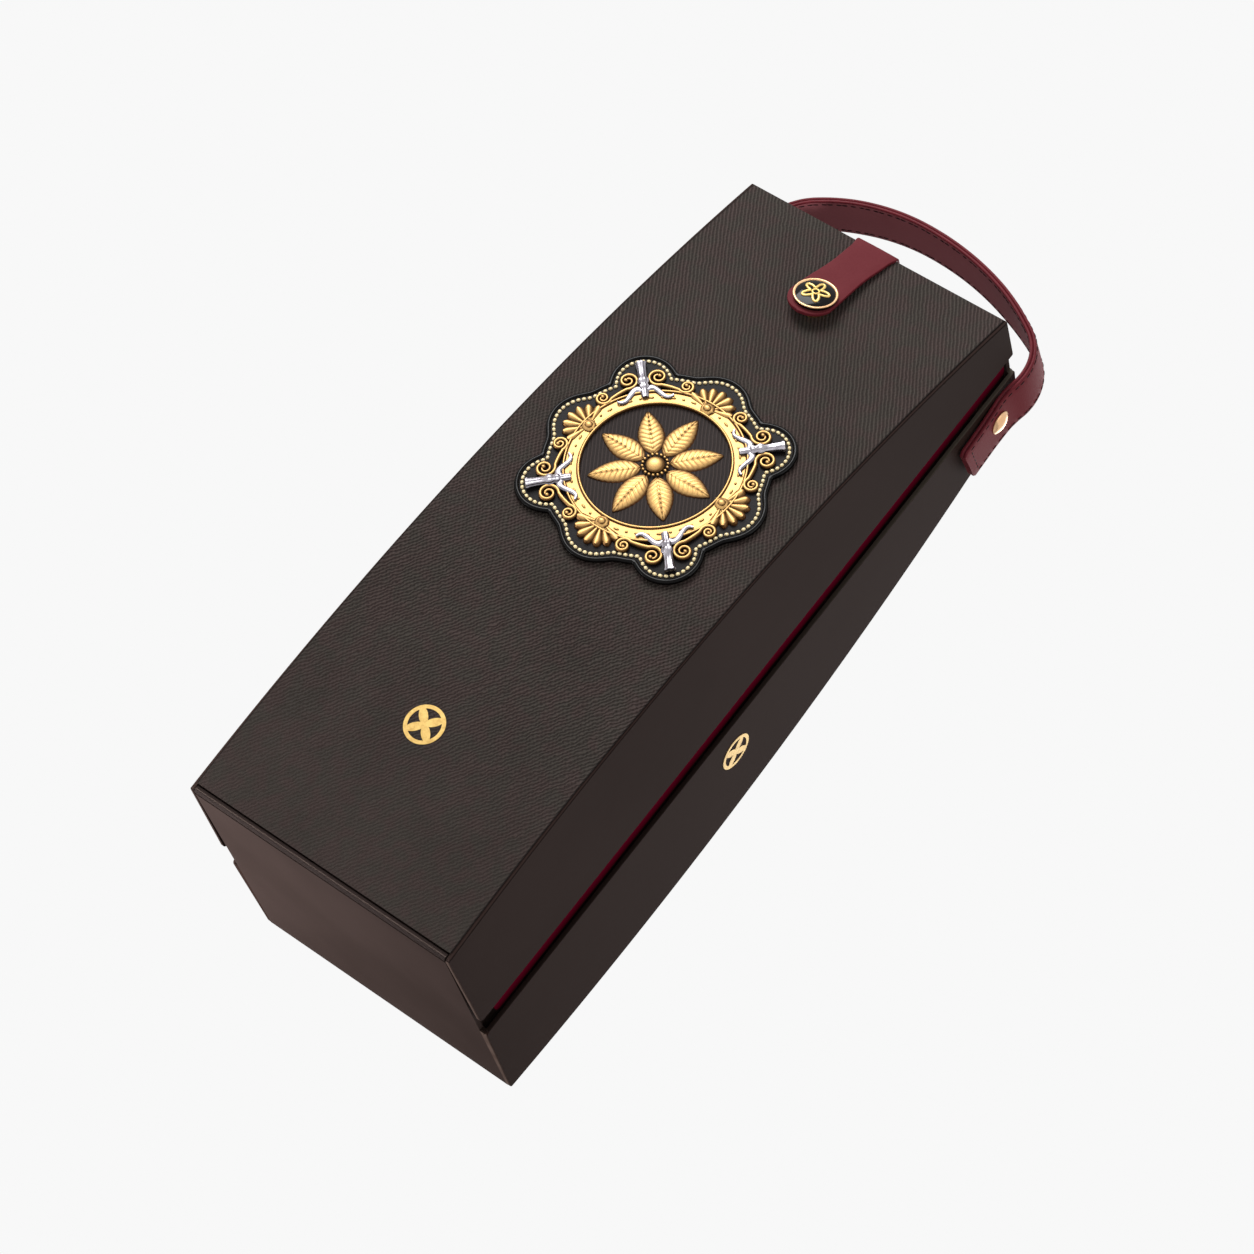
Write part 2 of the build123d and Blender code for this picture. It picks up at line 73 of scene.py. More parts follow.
# Table and room. A pale matt table that can be seen only from above, so that a camera
# below it looks up at the bottom end, in a plain pale room. A finish is written as
# arithmetic on wires: each wire is one output of the material's nodes.
class Wire:
    def __init__(self, tree, socket):
        self.tree = tree
        self.socket = socket

    def add(self, kind, settings=None, sockets=None, out=0):
        """A new node of the same material, given its settings first and then its sockets."""
        node = self.tree.nodes.new(kind)
        for name, value in (settings or {}).items():
            setattr(node, name, value)
        for name, value in (sockets or {}).items():
            if isinstance(value, Wire):
                self.tree.links.new(value.socket, node.inputs[name])
            else:
                node.inputs[name].default_value = value
        return Wire(self.tree, node.outputs[out])

    def beside(self, name):
        """Another output of the same node."""
        return Wire(self.tree, self.socket.node.outputs[name])

    def math(self, operation, *others):
        """A Math node that takes this as its first value."""
        return self.add("ShaderNodeMath", {"operation": operation},
                        dict(enumerate((self,) + others)))

    def __add__(self, other):
        return self.math("ADD", other)

    __radd__ = __add__

    def __sub__(self, other):
        return self.math("SUBTRACT", other)

    def __rsub__(self, other):
        return self.add("ShaderNodeMath", {"operation": "SUBTRACT"}, {0: other, 1: self})

    def __mul__(self, other):
        return self.math("MULTIPLY", other)

    __rmul__ = __mul__

    def __truediv__(self, other):
        return self.math("DIVIDE", other)

    def __abs__(self):
        return self.math("ABSOLUTE")

    def limit(self, low, high):
        """Runs from 0 at low to 1 at high, smoothly, and stays there."""
        return self.add("ShaderNodeMapRange", {"interpolation_type": "SMOOTHSTEP"},
                        {"Value": self, "From Min": low, "From Max": high})

    def blend(self, first, second):
        """The first colour where this is 0, the second where it is 1. The node's sockets 6
        and 7 take the colours, and its output 2 gives the mixed one."""
        return self.add("ShaderNodeMix", {"data_type": "RGBA"},
                        {0: self, 6: first, 7: second}, out=2)


class Finish:
    """A material under way: its main shader and the object's own coordinates."""

    def __init__(self, name, **sockets):
        self.material = bpy.data.materials.new(name)
        self.material.use_nodes = True
        self.tree = self.material.node_tree
        self.shader = self.tree.nodes["Principled BSDF"]
        self.place = Wire(self.tree, None).add("ShaderNodeTexCoord", out="Object")
        apart = self.place.add("ShaderNodeSeparateXYZ", None, {"Vector": self.place})
        self.x, self.y, self.z = (Wire(self.tree, s) for s in apart.socket.node.outputs)
        for socket, value in sockets.items():
            self.set(socket.replace("_", " "), value)

    def set(self, socket, value):
        """Give a socket of the main shader a wire or a plain value."""
        if isinstance(value, Wire):
            self.tree.links.new(value.socket, self.shader.inputs[socket])
        else:
            self.shader.inputs[socket].default_value = value

    def noise(self, scale, detail=2.0, roughness=0.5, stretch=None):
        """Soft spots of 0 to 1, about 1 / scale metres across unless they are stretched."""
        place = self.place
        if stretch:
            place = place.add("ShaderNodeVectorMath", {"operation": "MULTIPLY"},
                              {0: place, 1: stretch})
        return place.add("ShaderNodeTexNoise", None,
                         {"Vector": place, "Scale": scale, "Detail": detail,
                          "Roughness": roughness})

    def tint(self, amount, first, second):
        """Colour it from one shade at an amount of 0 to another at 1."""
        self.set("Base Color", amount.blend(shade(*first), shade(*second)))

    def mottle(self, scale, first, second):
        """Colour it in soft spots of two shades."""
        self.tint(self.noise(scale), first, second)

    def relief(self, height, depth):
        """Raise the surface by a height of 0 to 1 times a depth in metres."""
        self.set("Normal", height.add("ShaderNodeBump", None,
                                      {"Height": height, "Distance": depth}))

    def cover(self, *names):
        """Give the finish to CAD nodes."""
        for name in names:
            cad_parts[name].data.materials.clear()
            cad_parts[name].data.materials.append(self.material)


def shade(red, green, blue):
    """A colour as seen on a screen, 0 to 255, in the light units that shaders use."""
    return tuple((c / 255 / 12.92) if c < 10.5 else ((c / 255 + 0.055) / 1.055) ** 2.4
                 for c in (red, green, blue)) + (1,)


floor_half = 6
floor_drop = 0.0006
floor_mesh = bpy.data.meshes.new("floor")
floor_mesh.from_pydata([(-floor_half, -floor_half, 0), (floor_half, -floor_half, 0),
                        (floor_half, floor_half, 0), (-floor_half, floor_half, 0)],
                       [], [(0, 1, 2, 3)])
floor = bpy.data.objects.new("floor", floor_mesh)
floor.location.z = -floor_drop
scene.collection.objects.link(floor)
floor_finish = Finish("pale_floor", Base_Color=shade(246, 246, 246), Roughness=0.9)
floor_ray = floor_finish.x.add("ShaderNodeLightPath")
floor_seen = floor_ray.math("MAXIMUM", floor_ray.beside("Is Glossy Ray"))
from_below = floor_ray.add("ShaderNodeNewGeometry", out="Backfacing")
clear = floor_ray.add("ShaderNodeBsdfTransparent")
matt = Wire(floor_finish.tree, floor_finish.shader.outputs[0])
floor_mix = floor_ray.add("ShaderNodeMixShader", None,
                          {0: floor_seen * (1 - from_below), 1: clear, 2: matt})
floor_output = floor_finish.tree.nodes["Material Output"]
floor_finish.tree.links.new(floor_mix.socket, floor_output.inputs["Surface"])
floor_mesh.materials.append(floor_finish.material)

room = bpy.data.worlds.new("room")
scene.world = room
room.use_nodes = True
room_tree = room.node_tree
room_light = room_tree.nodes["Background"]
room_light.inputs["Color"].default_value = (1, 1, 1, 1)
room_light.inputs["Strength"].default_value = 0.26
room_ray = Wire(room_tree, None).add("ShaderNodeLightPath")
room_seen = room_ray.math("MAXIMUM", room_ray.beside("Is Glossy Ray"))
room_seen = room_seen.math("MAXIMUM", room_ray.beside("Is Transmission Ray"))
room_pale = room_ray.add("ShaderNodeBackground", None, {"Color": shade(248, 248, 248)})
room_mix = room_ray.add("ShaderNodeMixShader", None,
                        {0: room_seen, 1: Wire(room_tree, room_light.outputs[0]),
                         2: room_pale})
room_tree.links.new(room_mix.socket, room_tree.nodes["World Output"].inputs["Surface"])


# Soft lamps: a key from the upper left front, weak ones from the right and from low in front,
# a small one under the left front that glances along the bottom end, and one behind.
def lamp(name, place, target, width, watts):
    data = bpy.data.lights.new(name, "AREA")
    data.size = width
    data.energy = watts
    item = bpy.data.objects.new(name, data)
    item.location = place
    aim = (Vector(target) - Vector(place)).to_track_quat("-Z", "Y")
    item.rotation_euler = aim.to_euler()
    item.visible_camera = False
    scene.collection.objects.link(item)


lamp("key", (-0.9, -1.3, 1.3), (0, 0, 0.18), 1.0, 32)
lamp("fill", (1.5, -0.5, 0.7), (0, 0, 0.18), 1.0, 3)
lamp("front", (0.5, -1.0, -0.25), (0, 0, 0.18), 0.5, 2.2)
lamp("low", (-0.24, -0.08, -0.19), (-0.03, 0, 0.0), 0.12, 2.0)
lamp("back", (0.3, 1.5, 0.9), (0, 0, 0.2), 1.0, 8)

# Boards of the sides, ends and back: grey board wrapped in smooth dark brown paper, glued and
# turned in over the edges. Its colour carries painted light: painted shade that darkens the
# sides, a painted highlight along the right side's foot, painted shade on the edges in the gap,
# lighter towards the top, and painted shade in a line pressed along the sides' front edges.
box_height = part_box("top_board")[1].z
half_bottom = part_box("bottom_board")[1].y
half_top = 0.0292
bow_radius = 0.88
chord = hypot(box_height, half_bottom - half_top)
bow_depth = sqrt(bow_radius ** 2 - chord ** 2 / 4)
bow_y = (half_bottom + half_top) / 2 - bow_depth * box_height / chord
bow_z = box_height / 2 - bow_depth * (half_bottom - half_top) / chord
side_skin = (0.0583, 0.0586)
base_edge = 0.005
gap_edge_line = base_edge - 0.0001
foot_highlight_height = 0.0005
press_back = 0.0009
paper_grain = 0.00004


def front_height(finish):
    """How far a point stands out from the bowed front face, as a wire."""
    back = finish.y + bow_y
    up = finish.z - bow_z
    return (back * back + up * up).math("SQRT") - bow_radius


paper = Finish("smooth_paper", Roughness=0.66, Specular_IOR_Level=0.025)
cloud = paper.noise(14, 3)
fibre = paper.noise(900, 3)
on_side = abs(paper.x).limit(*side_skin)
on_base = paper.y.limit(base_edge - 0.001, base_edge)
near_foot = 1 - paper.z.limit(0.0001, foot_highlight_height)
# A painted highlight along the foot of the right side only.
foot_highlight = near_foot * paper.x.limit(*side_skin) * (0.2 + 0.8 * paper.noise(120, 3))
# A line pressed along the sides' front edges: a real groove in the relief, and painted shade in
# its colour.
pressed_groove_shade = on_side * (1 - abs(front_height(paper) + press_back).limit(0.00008, 0.00028))
# Painted shade on the sides' edges in the gap, where the lid shades them, lighter towards the
# top.
gap_edge_shade = on_side * (1 - abs(paper.y - gap_edge_line).limit(0.0003, 0.0006))
brown = cloud.limit(0.3, 0.7).blend(shade(59, 48, 45), shade(66, 54, 51))
# Painted shade: the sides are darker, most on the back half's sides, and a little redder.
brown = (on_side * (0.4 + 0.4 * on_base)).blend(brown, shade(47, 31, 26))
brown = (foot_highlight * 0.8).blend(brown, shade(116, 98, 90))
brown = (pressed_groove_shade * 0.85).blend(brown, shade(20, 14, 13))
gap_edge_shade_colour = paper.z.limit(0.12, 0.33).blend(shade(34, 25, 22), shade(80, 72, 64))
paper.set("Base Color", gap_edge_shade.blend(brown, gap_edge_shade_colour))
paper.relief(fibre + cloud * 2 - pressed_groove_shade * 4, paper_grain)
paper.cover("bottom_board", "back_board", "base_side_left", "base_side_right", "top_board",
            "front_board", "lid_side_left", "lid_side_right")

# Ribbed paper glued over the bowed front and back boards: dark brown, embossed with two sets
# of fine slanting ribs, one stronger near the top and the other near the bottom. Its dye is
# uneven, from a reddish to an olive brown. Its colour also carries painted highlights on the
# ribs' crests with painted shade between them, painted shade that darkens it towards the
# bottom, and painted shade in a line along the sides where it is turned in.
rib_pitch = 0.00137
rib_slant = radians(33.5)
rib_depth = 0.00022
ribbed = Finish("ribbed_paper", Roughness=0.62, Specular_IOR_Level=0.08)
high_up = ribbed.z.limit(0.1, 0.25)
wander = (ribbed.noise(210) - 0.5) * (0.0016 - high_up * 0.0007)
wander = wander + (ribbed.noise(650, 1) - 0.5) * (0.0012 - high_up * 0.0008)
across = ribbed.x * cos(rib_slant)
upward = ribbed.z * sin(rib_slant)


def ribs(distance):
    """Height of a set of ribs, 0 to 1, from the distance measured square to them."""
    return (distance * (2 * pi / rib_pitch)).math("SINE") * 0.5 + 0.5


rising = ribs(across + upward + wander)
falling = ribs(across - upward + wander)
firm = 0.3 + 0.95 * ribbed.z.limit(0.0, 0.15)
broken = 0.5 + 0.8 * ribbed.noise(330)
weave = rising * (high_up * 0.75 + 0.25) + falling * broken * (1 - high_up * 0.85)
grit = ribbed.noise(2600)
ribbed.relief(weave * firm + grit * 0.6, rib_depth)
# Painted highlights on the ribs' crests and painted shade between them, over an uneven tone.
rib_shade_and_tone = (weave - 0.6) * firm * 0.62 + ribbed.noise(40, 3) * 0.25 + grit * 0.35 + 0.14
# Painted shade: darker towards the bottom and lighter towards the top.
height_shade = ribbed.z.limit(0.0, 0.3) * 0.28 - 0.11
olive = ribbed.noise(150, 3).limit(0.36, 0.64)
rib_colour = (rib_shade_and_tone + height_shade).blend(olive.blend(shade(38, 29, 27), shade(35, 30, 27)),
                                  olive.blend(shade(80, 68, 65), shade(75, 69, 64)))
from_middle = abs(ribbed.x)
# Painted shade in a line along the sides where the paper is turned in.
edge_crease_shade = from_middle.limit(0.0585, 0.0588) * (1 - from_middle.limit(0.0593, 0.0596))
ribbed.set("Base Color", (edge_crease_shade * 0.8).blend(rib_colour, shade(20, 15, 14)))
ribbed.cover("front_cover", "back_cover")

# Cloth hinge along the front of the bottom end: dark brown book cloth rolled into a tight
# fold and glued to the boards on both sides of it, with a painted highlight along the crest
# of the fold.
fold_back = -0.0571
fold_high = 0.0014
thread = 0.0005
hinge_cloth = Finish("hinge_cloth", Roughness=0.8, Specular_IOR_Level=0.1)
warp = (hinge_cloth.x * (2 * pi / thread)).math("SINE") * 0.5 + 0.5
crest = ((fold_back - hinge_cloth.y) * 0.99 + (fold_high - hinge_cloth.z) * 0.12) / fold_high
# A painted highlight along the front of the fold's crest.
crest_highlight = crest.limit(0.975, 0.996) * (0.4 + 0.8 * hinge_cloth.noise(150, 3))
hinge_cloth.set("Base Color", crest_highlight.blend(warp.blend(shade(36, 27, 25), shade(54, 43, 40)),
                                              shade(90, 77, 71)))
hinge_cloth.relief(warp + hinge_cloth.noise(900), 0.0001)
hinge_cloth.cover("hinge_fold")

# Tray that stands up inside the back half and shows in the gap: walls of dark brown card
# glued at the corners, with cut edges and a fine fibre.
card = Finish("tray_card", Roughness=0.6, Specular_IOR_Level=0.3)
card.tint(card.noise(40, 3).limit(0.3, 0.7), (40, 28, 24), (56, 42, 37))
card.relief(card.noise(700), 0.00004)
card.cover("tray_side_left", "tray_side_right", "tray_end_bottom", "tray_end_top")

# Burgundy lining of the lid: smooth dyed paper on boards inside the sides, which stand
# proud of the sides' edges, and on a sheet behind the front. Painted shade makes the boards
# darker the further they stand into the gap.
lining = Finish("lining", Roughness=0.7, Specular_IOR_Level=0.0)
# Painted shade: darker the further the boards stand into the gap, over a random tone.
lining_gap_shade = lining.y.limit(-0.0045, 0.0004) * 0.75 + lining.noise(60) * 0.25
lining.tint(lining_gap_shade, (112, 7, 38), (50, 2, 13))
lining.relief(lining.noise(800, 3), 0.00003)
lining.cover("lid_lining_left", "lid_lining_right", "lid_front_lining")

# Foam that beds the bottle: blocks cut to the bottle's shape and flocked in burgundy, so
# their edges are soft and their surface is a fine nap.
foam_cell = 0.0018
foam_nap = 0.0002
flock = Finish("flocked_foam", Roughness=1.0, Sheen_Weight=0.15)
nap = flock.noise(2200)
brushed = flock.noise(25, 3)
flock.tint(nap * 0.6 + brushed * 0.5, (58, 4, 18), (112, 18, 42))
flock.relief(nap, foam_nap)


def foam(name, node, body):
    """The foam of a CAD node, with its edges eased by a few rounds of smoothing."""
    block = bpy.data.objects.new(name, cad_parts[node].data.copy())
    scene.collection.objects.link(block)
    even = block.modifiers.new("even", "REMESH")
    even.mode = "VOXEL"
    even.voxel_size = foam_cell
    soft = block.modifiers.new("soft", "SMOOTH")
    soft.iterations = 7
    soft.factor = 0.5
    bpy.context.view_layer.update()
    eased = block.evaluated_get(bpy.context.evaluated_depsgraph_get())
    mesh = bpy.data.meshes.new_from_object(eased)
    block.modifiers.clear()
    block.data = mesh
    mesh.name = name
    mesh.materials.clear()
    mesh.materials.append(flock.material)
    mesh.shade_smooth()
    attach(block, body)
    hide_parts(node)


foam("foam_bottle_seat", "bottle_seat", "base")
foam("foam_body_bed", "body_bed", "base")
foam("foam_neck_bed", "neck_bed", "base")
foam("foam_lid_body", "lid_body_pad", "lid")
foam("foam_lid_neck", "lid_neck_pad", "lid")

# Medallion patch: a thick black badge cut to a lobed outline, with a glossy rolled edge and
# a row of gold bead stitches inside it. It is glued on the bowed front, so every point of
# it is laid out sideways, up the face and out from it.
sideways = Vector((1, 0, 0))


def on_front(x, z, high):
    """The point at a height above the bowed front face."""
    return Vector((x, -bow_y - sqrt((bow_radius + high) ** 2 - (z - bow_z) ** 2), z))


def outward(z):
    """Square to the front face."""
    slope = asin((z - bow_z) / bow_radius)
    return Vector((0, -cos(slope), sin(slope)))


def loft(shape, rings, closed=False, coats=None):
    """Skin over rings of points. coats gives a ring's segments their material numbers."""
    loops = [[shape.verts.new(point) for point in ring] for ring in rings]
    following = loops[1:] + loops[:1] if closed else loops[1:]
    for low, high in zip(loops, following):
        for i in range(len(low)):
            j = (i + 1) % len(low)
            face = shape.faces.new((low[i], low[j], high[j], high[i]))
            if coats:
                face.material_index = coats[i]
    if not closed:
        shape.faces.new(loops[0][::-1])
        shape.faces.new(loops[-1])


def field(shape, rows):
    """Skin over rows of points that lie side by side."""
    loops = [[shape.verts.new(point) for point in row] for row in rows]
    for low, high in zip(loops, loops[1:]):
        for i in range(len(low) - 1):
            shape.faces.new((low[i], low[i + 1], high[i + 1], high[i]))


def oval(width, height, count=8):
    """Outline of a bar's section: sideways and outward distances from its middle."""
    turns = [2 * pi * i / count for i in range(count)]
    return [(width / 2 * cos(turn), height / 2 * sin(turn)) for turn in turns]


def bar(shape, places, sections, closed=False):
    """Bar on the front face through (x, z, height) places, with a section at each."""
    points = [on_front(*place) for place in places]
    rings = []
    for i, point in enumerate(points):
        ahead = points[(i + 1) % len(points)] if closed or i + 1 < len(points) else point
        behind = points[i - 1] if closed or i else point
        out = outward(point.z)
        side = (ahead - behind).cross(out).normalized()
        rings.append([point + side * a + out * b for a, b in sections[i]])
    loft(shape, rings, closed)


def piece(name, shape, body, slot, finishes, *replaced, sharp=40):
    """The finished shape as an object that rides on a body, if any, in place of CAD nodes."""
    bmesh.ops.remove_doubles(shape, verts=shape.verts, dist=1e-6)
    bmesh.ops.recalc_face_normals(shape, faces=shape.faces)
    mesh = bpy.data.meshes.new(name)
    shape.to_mesh(mesh)
    shape.free()
    mesh.shade_smooth()
    mesh.set_sharp_from_angle(angle=radians(sharp))
    for finish in finishes:
        mesh.materials.append(finish.material)
    item = bpy.data.objects.new(name, mesh)
    scene.collection.objects.link(item)
    if body:
        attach(item, body)
    if replaced:
        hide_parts(*replaced)
    return item


medal_z = box_height - 0.1325
medal_core = 0.043
corner_place = 0.039
corner_radius = 0.013
side_place = 0.033
side_radius = 0.0145
patch_height = 0.0022
roll_width = 0.0021
stitch_inset = 0.0031
stitch_pitch = 0.00215
stitch_length = 0.0016
stitch_width = 0.0014
stitch_rise = 0.0012
quarter = pi / 4


def lobed(angle, inset):
    """Distance from the medallion's middle to its outline, moved in by inset."""
    reaches = [medal_core - inset]
    for k in range(8):
        place, radius = ((corner_place, corner_radius) if k % 2 else (side_place, side_radius))
        off = angle - k * quarter
        miss = place * sin(off)
        if cos(off) > 0 and abs(miss) < radius - inset:
            reaches.append(place * cos(off) + sqrt((radius - inset) ** 2 - miss ** 2))
    return sum(reach ** 40 for reach in reaches) ** (1 / 40)


def around(angle, distance, high):
    """An (x, z, height) place from an angle and a distance about the medallion."""
    return (distance * cos(angle), medal_z + distance * sin(angle), high)


def on_medal(angle, distance, high):
    """The point at such a place."""
    return on_front(*around(angle, distance, high))


def from_medal(finish):
    """Distance of a point from the medallion's middle, as a wire."""
    up = finish.z - medal_z
    return (finish.x * finish.x + up * up).math("SQRT")


outline_steps = 720
outline = [2 * pi * i / outline_steps for i in range(outline_steps)]


def patch_ring(inset, high, share=1):
    """Points along the outline, moved in by inset and then to a share of their distance."""
    return [on_medal(t, lobed(t, inset) * share, high) for t in outline]


patch = bmesh.new()
patch_edge = 0.0005
patch_rings = [patch_ring(patch_edge, 0.0), patch_ring(patch_edge, patch_height * 0.6)]
for share in (1, 0.94, 0.85, 0.7, 0.55, 0.4, 0.25, 0.12, 0.03):
    patch_rings.append(patch_ring(roll_width, patch_height * 0.8, share))
loft(patch, patch_rings)
badge = Finish("badge_cloth", Specular_IOR_Level=0.12)
badge_wander = (badge.noise(160) - 0.5) * 0.0006
badge_rib = ribs(badge.x * cos(rib_slant) + badge.z * sin(rib_slant) + badge_wander)
badge_plain = from_medal(badge).limit(0.031, 0.033)
# The ribbed field has painted highlights on its ribs and painted shade between them, over a
# random tone.
badge_rib_shade_and_tone = (badge_rib * 0.7 + badge.noise(40, 3) * 0.4).blend(shade(34, 29, 28),
                                                                  shade(66, 57, 55))
badge.set("Base Color", badge_plain.blend(badge_rib_shade_and_tone, shade(20, 16, 17)))
badge.relief(badge_rib * (1 - badge_plain) + badge.noise(1800) * 0.4, 0.0002)
badge.set("Roughness", 0.62 - badge_plain * 0.12)
piece("badge_patch", patch, "lid", "medal_cloth", [badge], "medal_pad")

roll = bmesh.new()
roll_places = [around(t, lobed(t, roll_width / 2), patch_height * 0.55) for t in outline]
bar(roll, roll_places, [oval(roll_width, patch_height * 1.1, 10)] * outline_steps, closed=True)
glossy = Finish("glossy_black", Roughness=0.1, Specular_IOR_Level=0.12)
glossy.mottle(90, (3, 2, 2), (8, 6, 6))
glossy.relief(glossy.noise(500), 0.00005)
piece("badge_rolled_edge", roll, "lid", "medal_cloth", [glossy])


def spaced(path, pitch):
    """Places at even steps along a closed path, each with the path's direction there."""
    lengths = [(b - a).length for a, b in zip(path, path[1:] + path[:1])]
    count = round(sum(lengths) / pitch)
    step = sum(lengths) / count
    gone = 0.0
    found = []
    for a, b, length in zip(path, path[1:] + path[:1], lengths):
        while len(found) < count and len(found) * step < gone + length:
            share = (len(found) * step - gone) / length
            found.append((a.lerp(b, share), (b - a).normalized()))
        gone += length
    return found


def pill(shape, middle, along, out, length, width, height):
    """One stitch or bead: a short round-ended bar."""
    side = along.cross(out).normalized()
    rings = []
    for place, size in ((-0.5, 0.35), (-0.36, 0.8), (0, 1), (0.36, 0.8), (0.5, 0.35)):
        point = middle + along * (length * place)
        rings.append([point + side * a + out * b for a, b in oval(width * size, height * size)])
    loft(shape, rings)


stitches = bmesh.new()
stitch_line = [on_medal(t, lobed(t, stitch_inset), patch_height * 0.9) for t in outline]
for middle, along in spaced(stitch_line, stitch_pitch):
    pill(stitches, middle, along, outward(middle.z), stitch_length, stitch_width, stitch_rise)
thread_gold = Finish("gold_thread", Metallic=0.2, Roughness=0.4)
thread_gold.mottle(900, (236, 204, 140), (255, 243, 200))
piece("badge_stitches", stitches, "lid", "gold_metal", [thread_gold], "medal_cord")

# Gold frame of the medallion: one casting, plated and polished, with a flat ring between
# two raised rims, scrolls that curl off it into the lobes, and four fluted fans. Its colour
# carries painted shade in the grooves beside the rims, low down near the badge and on its
# sloping faces.
frame_radius = 0.0308
frame_seat = patch_height * 0.8
plate_half = 0.0022
plate_rise = 0.0009
rim_half = 0.00055
rim_rise = 0.0016
rim_outer = plate_half + 2 * rim_half
rim_foot = -0.0004
scroll_thin = 0.0009
scroll_thick = 0.0017
scroll_ball = 0.0018
fan_radius = 0.0106
fan_flutes = 7
gold = Finish("gold_metal", Metallic=0.85, Roughness=0.46)


def facing(finish):
    """How squarely a surface looks out of the front: 1 on its flats, less on its slopes."""
    normal = finish.place.beside("Normal")
    return normal.add("ShaderNodeVectorMath", {"operation": "DOT_PRODUCT"},
                      {0: normal, 1: (0, -1, 0)}, "Value")


gold_high = front_height(gold) - frame_seat
# Painted shade in the grooves between the flat ring and its rims.
groove_shade = abs(abs(from_medal(gold) - frame_radius) - plate_half)
groove_shade = (1 - groove_shade.limit(0.0001, 0.0004)) * (1 - gold_high.limit(plate_rise, 0.0014))
# Painted light and shade: brighter the higher a part stands and the more squarely it faces out,
# darker low down and on slopes, over a random tone.
gold_light_and_tone = gold_high.limit(0.0001, 0.0012) * (0.7 + 0.4 * gold.noise(260, 3)) * (1 - groove_shade)
gold_light_and_tone = gold_light_and_tone * (0.12 + 0.88 * facing(gold).limit(0.72, 0.985))
gold.tint(gold_light_and_tone, (76, 44, 18), (222, 178, 112))
gold.relief(gold.noise(700, 3), 0.00006)
casting = bmesh.new()
moulding = [(-rim_outer, rim_foot), (-rim_outer, rim_rise * 0.6)]
for side_sign in (-1, 1):
    for i in range(6):
        turn = pi * (1 - i / 5)
        moulding.append((side_sign * (plate_half + rim_half) + rim_half * cos(turn),
                         plate_rise + (rim_rise - plate_rise) * sin(turn)))
moulding += [(rim_outer, rim_rise * 0.6), (rim_outer, rim_foot)]
ring_steps = 300
ring_places = [around(2 * pi * i / ring_steps, frame_radius, frame_seat)
               for i in range(ring_steps)]
bar(casting, ring_places, [moulding] * ring_steps, closed=True)
stud_count = 48
stud_width = 0.001
for i in range(stud_count):
    turn = 2 * pi * (i + 0.5) / stud_count
    middle = on_medal(turn, frame_radius, frame_seat + plate_rise)
    lay = Vector((cos(turn + 2 * quarter), 0, sin(turn + 2 * quarter)))
    stud_length = 0.0022 if i % 2 else 0.0011
    pill(casting, middle, lay, outward(middle.z), stud_length, stud_width, stud_width)


def curl(turn, out, aside, radius, lead):
    """Spiral about a point beside a middle line, from the ring to its eye, as (x, z) places."""
    hand = 1 if aside > 0 else -1
    places = []
    steps = 48
    for i in range(steps + 1):
        share = i / steps
        bend = pi - lead + share * 3.4 * pi
        reach = radius * (1 - 0.8 * share ** 0.85)
        far = out + reach * cos(bend)
        off = aside + hand * reach * sin(bend)
        places.append((far * cos(turn) - off * sin(turn),
                       far * sin(turn) + off * cos(turn)))
    return places


def scroll(big, small):
    """A wire that hugs the ring and curls up at both ends, thickest where it hugs it."""
    path = big[::-1]
    start = Vector(big[0])
    end = Vector(small[0])
    swing = start.angle_signed(end) * -1
    for i in range(1, 12):
        share = i / 12
        turn = atan2(start.y, start.x) + swing * share
        reach = start.length + (end.length - start.length) * share
        path.append((reach * cos(turn), reach * sin(turn)))
    path += small
    count = len(path)
    sections = []
    for i in range(count):
        middle = 1 - abs(2 * i / (count - 1) - 1)
        width = scroll_thin + (scroll_thick - scroll_thin) * middle ** 0.7
        if i in (0, count - 1):
            width *= 0.4
        sections.append(oval(width, width * 1.3, 10))
    bar(casting, [(x, medal_z + z, frame_seat + 0.0008) for x, z in path], sections)
    for x, z in (big[-1], small[-1]):
        ball = on_front(x, medal_z + z, frame_seat + 0.0011)
        pill(casting, ball, sideways, outward(ball.z), scroll_ball, scroll_ball, scroll_ball)


def fan(turn):
    """Fluted shell that stands on the ring and opens outward."""
    rows = []
    for i in range(12):
        share = i / 11
        row = []
        for j in range(fan_flutes * 8 + 1):
            part = j / (fan_flutes * 8)
            spread = (part - 0.5) * pi * 0.96
            flute = abs(sin(part * fan_flutes * pi))
            reach = fan_radius * share * (0.88 + 0.12 * flute)
            rise = 0.0008 + 0.0011 * flute * share ** 0.7 - 0.0022 * max(0, share - 0.9) * 10
            x = frame_radius * cos(turn) + reach * cos(turn + spread)
            z = frame_radius * sin(turn) + reach * sin(turn + spread)
            row.append(on_front(x, medal_z + z, frame_seat + rise))
        rows.append(row)
    field(casting, rows)
    for size, high in ((0.0052, 0.0013), (0.003, 0.0021)):
        hub = on_medal(turn, frame_radius, frame_seat + high)
        pill(casting, hub, sideways, outward(hub.z), size, size, 0.0016)


for k in range(4):
    corner_turn = quarter + k * 2 * quarter
    for hand in (-1, 1):
        big_curl = curl(corner_turn, 0.0398, hand * 0.0056, 0.0040, 0.2)
        small_curl = curl(corner_turn + hand * quarter, 0.0345, -hand * 0.0126, 0.0031, 0.5)
        scroll(big_curl, small_curl)
    fan(k * 2 * quarter)
piece("badge_gold_frame", casting, "lid", "gold_metal", [gold], "medal_frame", sharp=50)

